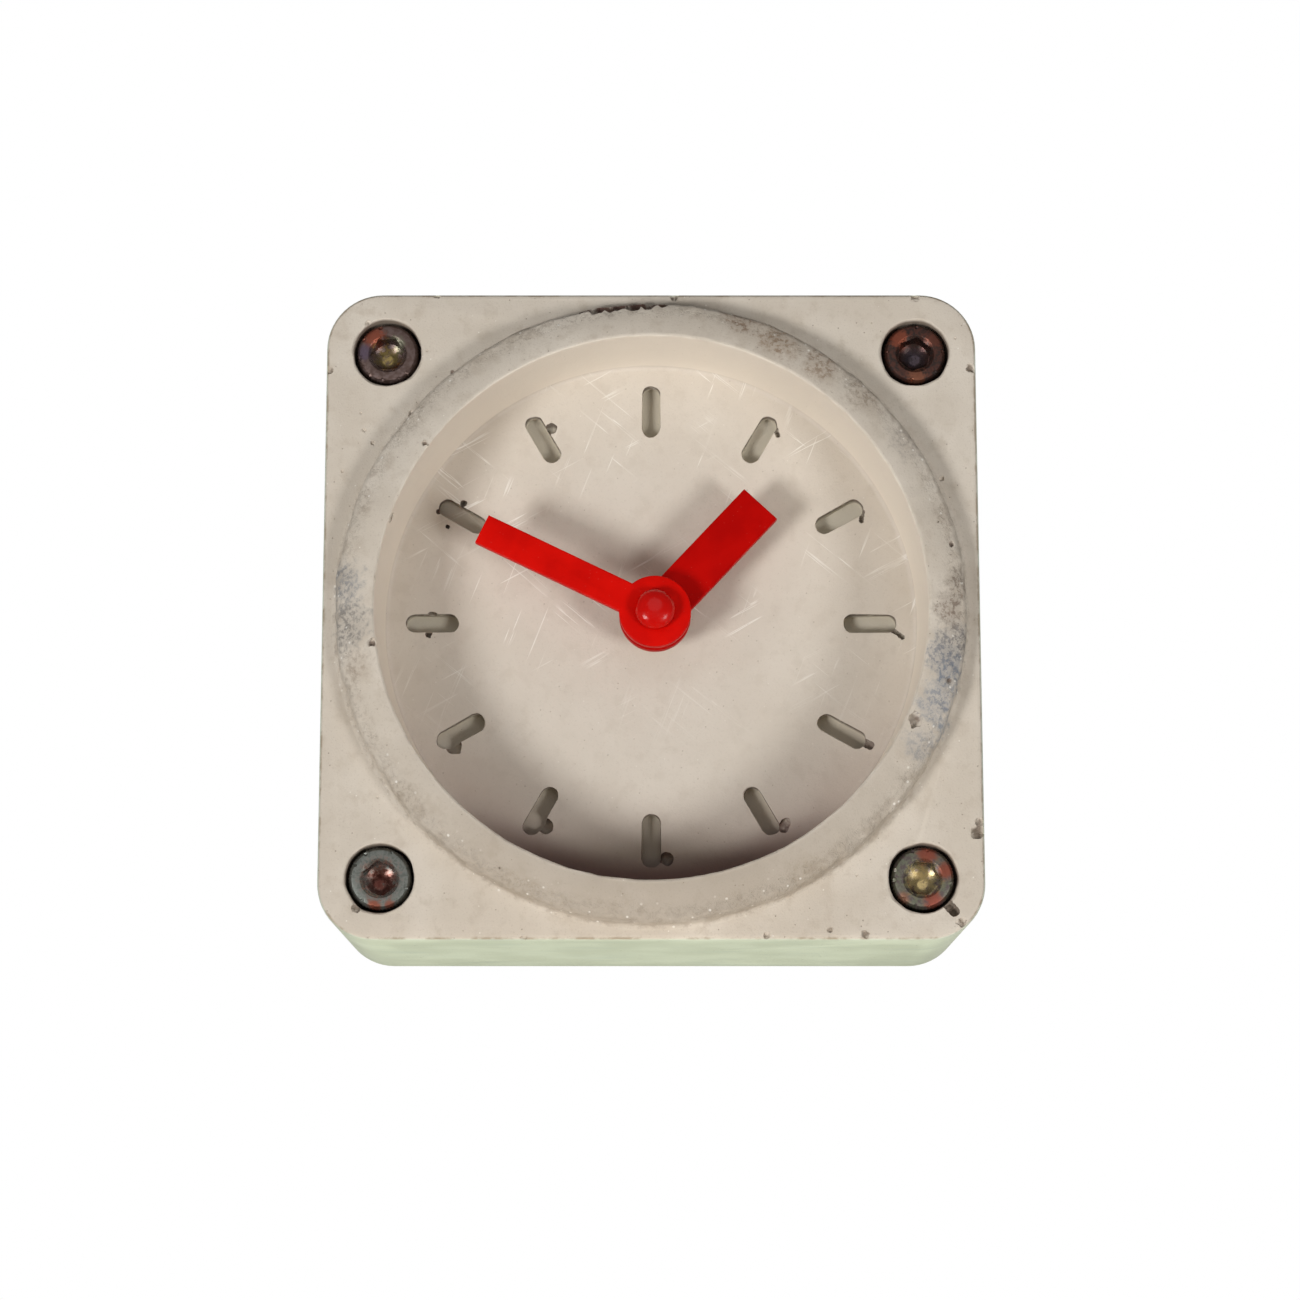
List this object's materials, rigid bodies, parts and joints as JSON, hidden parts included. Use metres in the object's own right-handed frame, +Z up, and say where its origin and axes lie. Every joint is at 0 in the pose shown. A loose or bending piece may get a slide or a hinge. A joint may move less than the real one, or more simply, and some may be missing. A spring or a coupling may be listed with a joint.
{
  "type": "concrete table clock",
  "caption": "Square cast-concrete clock with a raised ring, recessed dial, slot hour markers, red bar hands, corner socket screws and a quartz movement behind.",
  "frame": {"origin": "middle of the bottom face, under the middle of the clock's width and of its full depth", "axes": "+X to the right as one reads the dial, +Y from the face to the back, +Z up towards twelve o'clock"},
  "size_m": [0.105, 0.0514, 0.105],
  "materials": {
    "concrete": "fine cast concrete, form-smooth, with air bubbles and chips",
    "painted_plate": "satin grey powder coat on steel",
    "screw_steel": "blackened steel with brown rust",
    "zinc_steel": "bright zinc plate",
    "spring_steel": "nickel plate",
    "foam": "closed-cell foam strip",
    "rubber": "matt rubber",
    "black_plastic": "spark-textured moulding",
    "grey_plastic": "moulded",
    "white_plastic": "moulded acetal",
    "knob_plastic": "moulded",
    "battery_sleeve": "printed shrink sleeve with no lettering",
    "brass": "turned",
    "copper": "enamelled wire winding",
    "ferrite": "sintered magnet",
    "board": "green solder mask",
    "red_plastic": "red satin plastic",
    "red_cap": "red gloss plastic"
  },
  "bodies": {
    "clock_case": {"case": "concrete", "back_plate": "painted_plate", "screw_top_left": "screw_steel", "screw_top_right": "screw_steel", "screw_bottom_left": "screw_steel", "screw_bottom_right": "screw_steel", "washer_top_left": "zinc_steel", "washer_top_right": "zinc_steel", "washer_bottom_left": "zinc_steel", "washer_bottom_right": "zinc_steel", "nut_top_left": "zinc_steel", "nut_top_right": "zinc_steel", "nut_bottom_left": "zinc_steel", "nut_bottom_right": "zinc_steel", "movement_gasket": "foam", "dial_washer": "rubber", "movement_housing": "black_plastic", "movement_cover": "grey_plastic", "threaded_bush": "brass", "battery": "battery_sleeve", "contact_negative": "spring_steel", "contact_positive": "spring_steel", "circuit_board": "board", "quartz_crystal": "spring_steel", "stator": "zinc_steel", "coil": "copper"},
    "minute_hand_and_arbor": {"minute_hand": "red_plastic", "minute_arbor": "white_plastic", "hand_cap": "red_cap"},
    "hour_hand_and_wheel": {"hour_hand": "red_plastic", "hour_wheel": "white_plastic"},
    "change_wheel_and_knob": {"change_wheel": "white_plastic", "set_knob": "knob_plastic"},
    "rotor": {"rotor_magnet": "ferrite", "rotor_pinion": "white_plastic"},
    "intermediate": {"intermediate_wheel": "white_plastic"},
    "seconds": {"seconds_wheel": "white_plastic"},
    "third": {"third_wheel": "white_plastic"},
    "centre": {"centre_wheel": "white_plastic"}
  },
  "joints": [
    {"name": "minute_hand_turn", "type": "hinge", "parent": "clock_case", "child": "minute_hand_and_arbor", "pos_m": [0.0006, 0, 0.0525], "axis": [0, 1, 0], "continuous": true},
    {"name": "hour_hand_turn", "type": "hinge", "parent": "clock_case", "child": "hour_hand_and_wheel", "pos_m": [0.0006, 0, 0.0525], "axis": [0, 1, 0], "continuous": true},
    {"name": "change_wheel_turn", "type": "hinge", "parent": "clock_case", "child": "change_wheel_and_knob", "pos_m": [0.00953, 0, 0.05575], "axis": [0, 1, 0], "continuous": true},
    {"name": "rotor_turn", "type": "hinge", "parent": "clock_case", "child": "rotor", "pos_m": [0.00322, 0, 0.06876], "axis": [0, 1, 0], "continuous": true},
    {"name": "intermediate_turn", "type": "hinge", "parent": "clock_case", "child": "intermediate", "pos_m": [-0.00098, 0, 0.06148], "axis": [0, 1, 0], "continuous": true},
    {"name": "seconds_turn", "type": "hinge", "parent": "clock_case", "child": "seconds", "pos_m": [0.0006, 0, 0.0525], "axis": [0, 1, 0], "continuous": true},
    {"name": "third_turn", "type": "hinge", "parent": "clock_case", "child": "third", "pos_m": [-0.0084, 0, 0.0525], "axis": [0, 1, 0], "continuous": true},
    {"name": "centre_wheel_turn", "type": "hinge", "parent": "clock_case", "child": "centre", "pos_m": [0.0006, 0, 0.0525], "axis": [0, 1, 0], "continuous": true}
  ],
  "couplings": [
    {"joint": "hour_hand_turn", "follows": "minute_hand_turn", "ratio": 0.083333},
    {"joint": "change_wheel_turn", "follows": "minute_hand_turn", "ratio": -0.33333},
    {"joint": "intermediate_turn", "follows": "rotor_turn", "ratio": -0.16667},
    {"joint": "seconds_turn", "follows": "rotor_turn", "ratio": 0.033333},
    {"joint": "third_turn", "follows": "rotor_turn", "ratio": -0.0044444},
    {"joint": "centre_wheel_turn", "follows": "rotor_turn", "ratio": 0.00055556}
  ]
}
